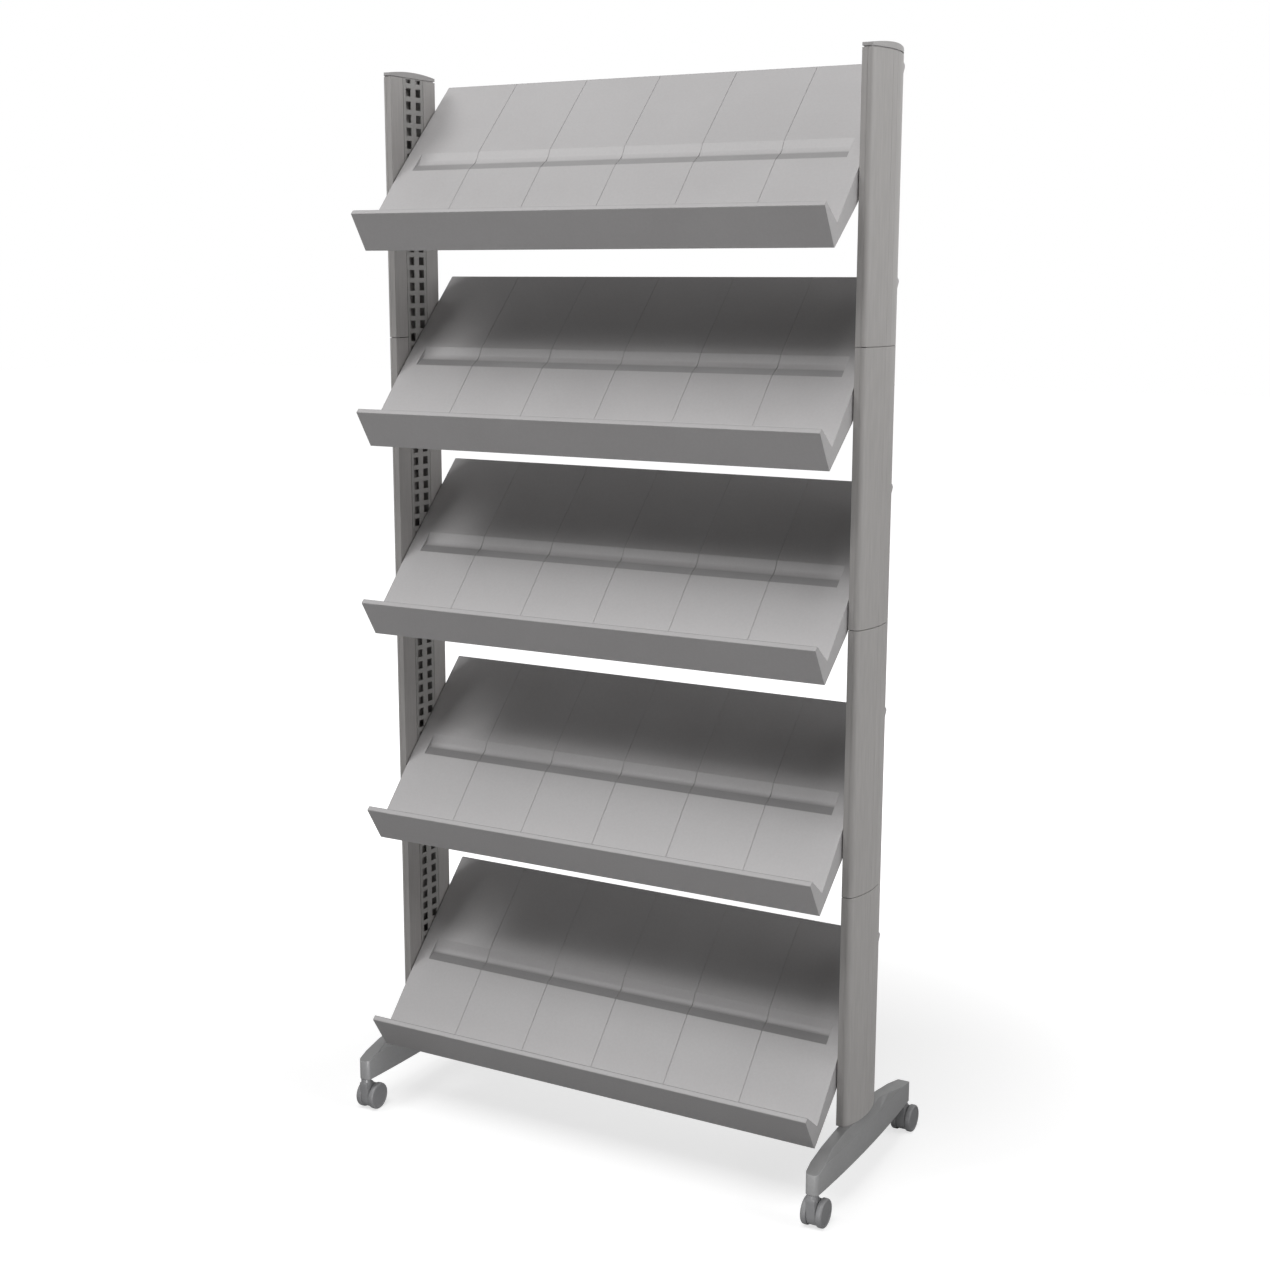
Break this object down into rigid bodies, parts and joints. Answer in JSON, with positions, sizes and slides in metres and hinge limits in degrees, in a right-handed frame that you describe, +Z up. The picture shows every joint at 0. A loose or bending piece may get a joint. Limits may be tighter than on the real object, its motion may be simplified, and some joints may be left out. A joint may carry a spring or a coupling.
{
  "type": "periodical display rack",
  "caption": "Mobile magazine display rack: sloping lipped shelves hooked between perforated posts in D-shaped covers, on two feet with twin-wheel swivel casters.",
  "frame": {"origin": "on the floor, in the middle of the rack's box with all four casters trailing to the back", "axes": "+X to the rack's right as seen by someone facing it, -Y the way the shelves face, +Z up"},
  "size_m": [0.844, 0.4035, 1.6825],
  "materials": {
    "post_steel": "satin powder coat",
    "bracket_steel": "satin powder coat",
    "cover_plastic": "fine-textured silver-grey",
    "shelf_plastic": "fine-textured silver-grey",
    "foot_metal": "cast, satin silver-grey paint",
    "bolt_steel": "zinc plated",
    "caster_plastic": "satin grey",
    "wheel_plastic": "satin grey",
    "axle_steel": "plain"
  },
  "bodies": {
    "frame": {"post_left": "post_steel", "cover_left_1": "cover_plastic", "cover_left_2": "cover_plastic", "cover_left_3": "cover_plastic", "cover_left_4": "cover_plastic", "cap_left": "cover_plastic", "post_right": "post_steel", "cover_right_1": "cover_plastic", "cover_right_2": "cover_plastic", "cover_right_3": "cover_plastic", "cover_right_4": "cover_plastic", "cap_right": "cover_plastic", "shelf_1": "shelf_plastic", "bracket_left_1": "bracket_steel", "bracket_right_1": "bracket_steel", "shelf_2": "shelf_plastic", "bracket_left_2": "bracket_steel", "bracket_right_2": "bracket_steel", "shelf_3": "shelf_plastic", "bracket_left_3": "bracket_steel", "bracket_right_3": "bracket_steel", "shelf_4": "shelf_plastic", "bracket_left_4": "bracket_steel", "bracket_right_4": "bracket_steel", "shelf_5": "shelf_plastic", "bracket_left_5": "bracket_steel", "bracket_right_5": "bracket_steel", "foot_left": "foot_metal", "foot_bolt_front_left": "bolt_steel", "foot_bolt_rear_left": "bolt_steel", "foot_right": "foot_metal", "foot_bolt_front_right": "bolt_steel", "foot_bolt_rear_right": "bolt_steel"},
    "caster_front_left": {"caster_front_left_fork": "caster_plastic", "caster_front_left_axle": "axle_steel"},
    "caster_front_left_wheel_inner": {"caster_front_left_wheel_inner": "wheel_plastic"},
    "caster_front_left_wheel_outer": {"caster_front_left_wheel_outer": "wheel_plastic"},
    "caster_front_right": {"caster_front_right_fork": "caster_plastic", "caster_front_right_axle": "axle_steel"},
    "caster_front_right_wheel_inner": {"caster_front_right_wheel_inner": "wheel_plastic"},
    "caster_front_right_wheel_outer": {"caster_front_right_wheel_outer": "wheel_plastic"},
    "caster_rear_left": {"caster_rear_left_fork": "caster_plastic", "caster_rear_left_axle": "axle_steel"},
    "caster_rear_left_wheel_inner": {"caster_rear_left_wheel_inner": "wheel_plastic"},
    "caster_rear_left_wheel_outer": {"caster_rear_left_wheel_outer": "wheel_plastic"},
    "caster_rear_right": {"caster_rear_right_fork": "caster_plastic", "caster_rear_right_axle": "axle_steel"},
    "caster_rear_right_wheel_inner": {"caster_rear_right_wheel_inner": "wheel_plastic"},
    "caster_rear_right_wheel_outer": {"caster_rear_right_wheel_outer": "wheel_plastic"}
  },
  "joints": [
    {"name": "caster_front_left_swivel", "type": "hinge", "parent": "frame", "child": "caster_front_left", "pos_m": [-0.405, -0.194, 0.07], "axis": [0, 0, 1], "continuous": true},
    {"name": "caster_front_left_wheel_inner_spin", "type": "hinge", "parent": "caster_front_left", "child": "caster_front_left_wheel_inner", "pos_m": [-0.405, -0.18, 0.022], "axis": [1, 0, 0], "continuous": true},
    {"name": "caster_front_left_wheel_outer_spin", "type": "hinge", "parent": "caster_front_left", "child": "caster_front_left_wheel_outer", "pos_m": [-0.405, -0.18, 0.022], "axis": [1, 0, 0], "continuous": true},
    {"name": "caster_front_right_swivel", "type": "hinge", "parent": "frame", "child": "caster_front_right", "pos_m": [0.405, -0.194, 0.07], "axis": [0, 0, 1], "continuous": true},
    {"name": "caster_front_right_wheel_inner_spin", "type": "hinge", "parent": "caster_front_right", "child": "caster_front_right_wheel_inner", "pos_m": [0.405, -0.18, 0.022], "axis": [1, 0, 0], "continuous": true},
    {"name": "caster_front_right_wheel_outer_spin", "type": "hinge", "parent": "caster_front_right", "child": "caster_front_right_wheel_outer", "pos_m": [0.405, -0.18, 0.022], "axis": [1, 0, 0], "continuous": true},
    {"name": "caster_rear_left_swivel", "type": "hinge", "parent": "frame", "child": "caster_rear_left", "pos_m": [-0.405, 0.165, 0.07], "axis": [0, 0, 1], "continuous": true},
    {"name": "caster_rear_left_wheel_inner_spin", "type": "hinge", "parent": "caster_rear_left", "child": "caster_rear_left_wheel_inner", "pos_m": [-0.405, 0.179, 0.022], "axis": [1, 0, 0], "continuous": true},
    {"name": "caster_rear_left_wheel_outer_spin", "type": "hinge", "parent": "caster_rear_left", "child": "caster_rear_left_wheel_outer", "pos_m": [-0.405, 0.179, 0.022], "axis": [1, 0, 0], "continuous": true},
    {"name": "caster_rear_right_swivel", "type": "hinge", "parent": "frame", "child": "caster_rear_right", "pos_m": [0.405, 0.165, 0.07], "axis": [0, 0, 1], "continuous": true},
    {"name": "caster_rear_right_wheel_inner_spin", "type": "hinge", "parent": "caster_rear_right", "child": "caster_rear_right_wheel_inner", "pos_m": [0.405, 0.179, 0.022], "axis": [1, 0, 0], "continuous": true},
    {"name": "caster_rear_right_wheel_outer_spin", "type": "hinge", "parent": "caster_rear_right", "child": "caster_rear_right_wheel_outer", "pos_m": [0.405, 0.179, 0.022], "axis": [1, 0, 0], "continuous": true}
  ]
}
